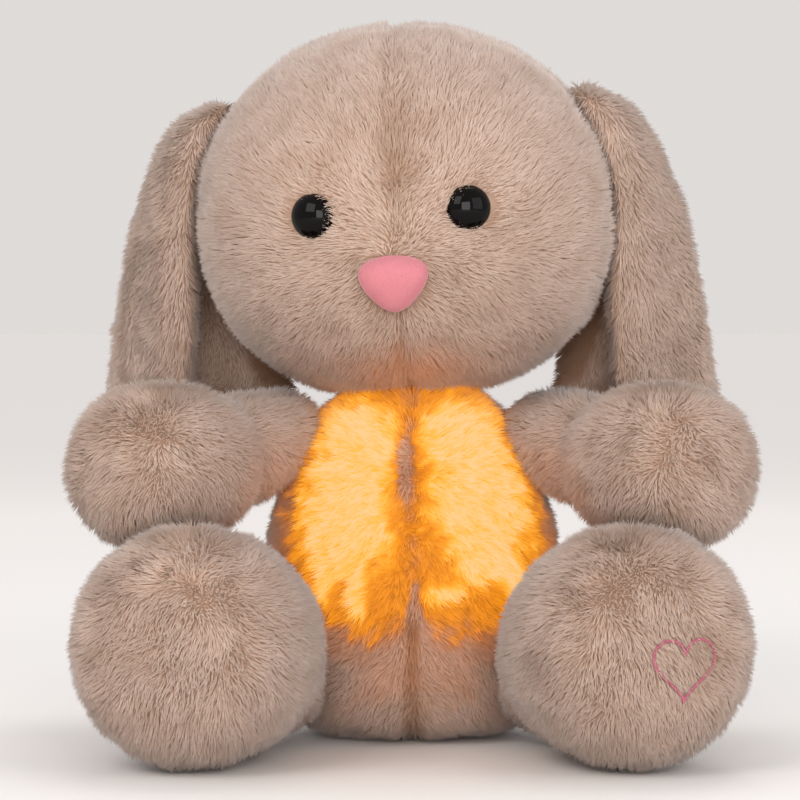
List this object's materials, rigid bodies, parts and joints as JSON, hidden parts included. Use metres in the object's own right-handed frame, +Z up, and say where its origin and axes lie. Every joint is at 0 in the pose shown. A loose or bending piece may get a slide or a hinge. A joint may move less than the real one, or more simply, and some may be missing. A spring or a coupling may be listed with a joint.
{
  "type": "breathing plush toy",
  "caption": "Seated lop-eared plush rabbit whose glowing belly panel rises and falls on a motor-driven lift plate inside a zipped body.",
  "frame": {"origin": "on the ground under the middle of the body, on the flat of the body's base", "axes": "+Z up, the rabbit faces -Y, +X to the rabbit's own left"},
  "size_m": [0.2788, 0.2302, 0.2984],
  "materials": {
    "fur": "long-pile plush, matte",
    "glow_fur": "long-pile plush over warm lamps",
    "filling": "polyester wadding",
    "eye_gloss": "polished black",
    "nose_flock": "flocked pink",
    "lock_washer": "natural nylon",
    "embroidery": "satin stitched thread",
    "lead": "black sheath",
    "zip_tape": "woven brown tape",
    "zip_teeth": "moulded coil",
    "steel": "nickel-plated",
    "brass": "turned",
    "shell": "moulded, fine texture",
    "gear": "acetal",
    "black_plastic": "moulded",
    "board": "solder mask",
    "cell": "plain sleeve",
    "lamp": "warm lamp on its board"
  },
  "bodies": {
    "torso": {"torso_skin": "fur", "torso_filling": "filling", "tail": "fur", "torso_lead": "lead", "zip_tape_left": "zip_tape", "zip_tape_right": "zip_tape", "zip_teeth": "zip_teeth", "module_pouch": "zip_tape", "front_shell": "shell", "rear_shell": "shell", "battery_door": "shell", "battery_door_screw": "steel", "shell_screw_left": "steel", "shell_screw_right": "steel", "cell_1": "cell", "cell_2": "cell", "cell_3": "cell", "contact_plus": "steel", "contact_bridge_bottom": "steel", "contact_bridge_top": "steel", "contact_minus": "steel", "motor": "steel", "gear_axle": "steel", "cam_axle": "steel", "gearbox_frame": "shell", "plate_hinge_pin": "steel", "speaker": "black_plastic", "circuit_board": "board", "led_board_left": "lamp", "led_board_right": "lamp", "mode_switch_body": "black_plastic"},
    "neck": {"neck_cushion": "fur"},
    "head": {"head_skin": "fur", "head_filling": "filling", "eye_left": "eye_gloss", "eye_right": "eye_gloss", "nose": "nose_flock", "eye_washer_left": "lock_washer", "eye_washer_right": "lock_washer", "nose_washer": "lock_washer"},
    "ear_left": {"ear_left": "fur"},
    "ear_right": {"ear_right": "fur"},
    "arm_left": {"arm_left": "fur"},
    "arm_right": {"arm_right": "fur"},
    "leg_left": {"leg_left": "fur", "leg_lead": "lead", "foot_switch_housing": "shell", "foot_heart": "embroidery"},
    "leg_right": {"leg_right": "fur"},
    "foot_button": {"foot_switch_button": "black_plastic"},
    "belly": {"belly_pad": "glow_fur", "lift_plate": "gear", "follower_roller": "gear"},
    "cam": {"cam_gear": "gear"},
    "worm_wheel": {"worm_gear": "gear"},
    "worm": {"motor_worm": "brass"},
    "mode_knob": {"mode_switch_knob": "black_plastic"},
    "zip_slider": {"zip_slider": "steel"},
    "zip_pull": {"zip_pull": "steel"}
  },
  "joints": [
    {"name": "neck_nod", "type": "hinge", "parent": "torso", "child": "neck", "pos_m": [0, -0.003, 0.118], "axis": [1, 0, 0], "range_deg": [-4, 5], "stiffness_Nm_per_rad": 4},
    {"name": "head_tilt", "type": "hinge", "parent": "neck", "child": "head", "pos_m": [0, -0.003, 0.118], "axis": [0, 1, 0], "range_deg": [-4, 4], "stiffness_Nm_per_rad": 4},
    {"name": "ear_left_swing", "type": "hinge", "parent": "head", "child": "ear_left", "pos_m": [0.06364, -0.01027, 0.27254], "axis": [-0.087, -0.9962, -0.0046], "range_deg": [0, 60]},
    {"name": "ear_right_swing", "type": "hinge", "parent": "head", "child": "ear_right", "pos_m": [-0.07365, 0.00176, 0.26535], "axis": [0.087, 0.9962, 0.0046], "range_deg": [0, 60]},
    {"name": "arm_left_raise", "type": "hinge", "parent": "torso", "child": "arm_left", "pos_m": [0.056, -0.008, 0.125], "axis": [-1, 0, 0], "range_deg": [0, 24]},
    {"name": "arm_right_raise", "type": "hinge", "parent": "torso", "child": "arm_right", "pos_m": [-0.056, -0.008, 0.125], "axis": [-1, 0, 0], "range_deg": [0, 24]},
    {"name": "leg_left_swing", "type": "hinge", "parent": "torso", "child": "leg_left", "pos_m": [0.055, -0.034, 0.03], "axis": [0, 0, -1], "range_deg": [0, 14], "stiffness_Nm_per_rad": 0.3},
    {"name": "leg_right_swing", "type": "hinge", "parent": "torso", "child": "leg_right", "pos_m": [-0.055, -0.034, 0.03], "axis": [0, 0, 1], "range_deg": [0, 14], "stiffness_Nm_per_rad": 0.3},
    {"name": "foot_switch_press", "type": "slide", "parent": "leg_left", "child": "foot_button", "axis": [-0.3633, 0.9317, 0], "range_m": [0, 0.0012], "stiffness_N_per_m": 500},
    {"name": "cam_turn", "type": "hinge", "parent": "torso", "child": "cam", "pos_m": [0, -0.009, 0.09464], "axis": [1, 0, 0], "range_deg": [0, 180]},
    {"name": "worm_wheel_turn", "type": "hinge", "parent": "torso", "child": "worm_wheel", "pos_m": [0, -0.004, 0.0805], "axis": [1, 0, 0], "range_deg": [-570, 0]},
    {"name": "worm_turn", "type": "hinge", "parent": "torso", "child": "worm", "pos_m": [-0.02, -0.013, 0.0805], "axis": [0, 0, 1], "range_deg": [-12540, 0]},
    {"name": "belly_breathe", "type": "hinge", "parent": "torso", "child": "belly", "pos_m": [0, -0.02775, 0.048], "axis": [1, 0, 0], "range_deg": [0, 6]},
    {"name": "mode_switch_slide", "type": "slide", "parent": "torso", "child": "mode_knob", "axis": [1, 0, 0], "range_m": [-0.0025, 0.0025]},
    {"name": "zip_travel", "type": "hinge", "parent": "torso", "child": "zip_slider", "pos_m": [0, -0.06, 0.075], "axis": [-1, 0, 0], "range_deg": [0, 35.4]},
    {"name": "zip_pull_flip", "type": "hinge", "parent": "zip_slider", "child": "zip_pull", "pos_m": [0, 0.03769, 0.1314], "axis": [1, 0, 0], "range_deg": [0, 150]}
  ],
  "couplings": [
    {"joint": "belly_breathe", "follows": "cam_turn", "ratio": 0.033333},
    {"joint": "worm_wheel_turn", "follows": "cam_turn", "ratio": -3.1667},
    {"joint": "worm_turn", "follows": "cam_turn", "ratio": -69.667}
  ]
}
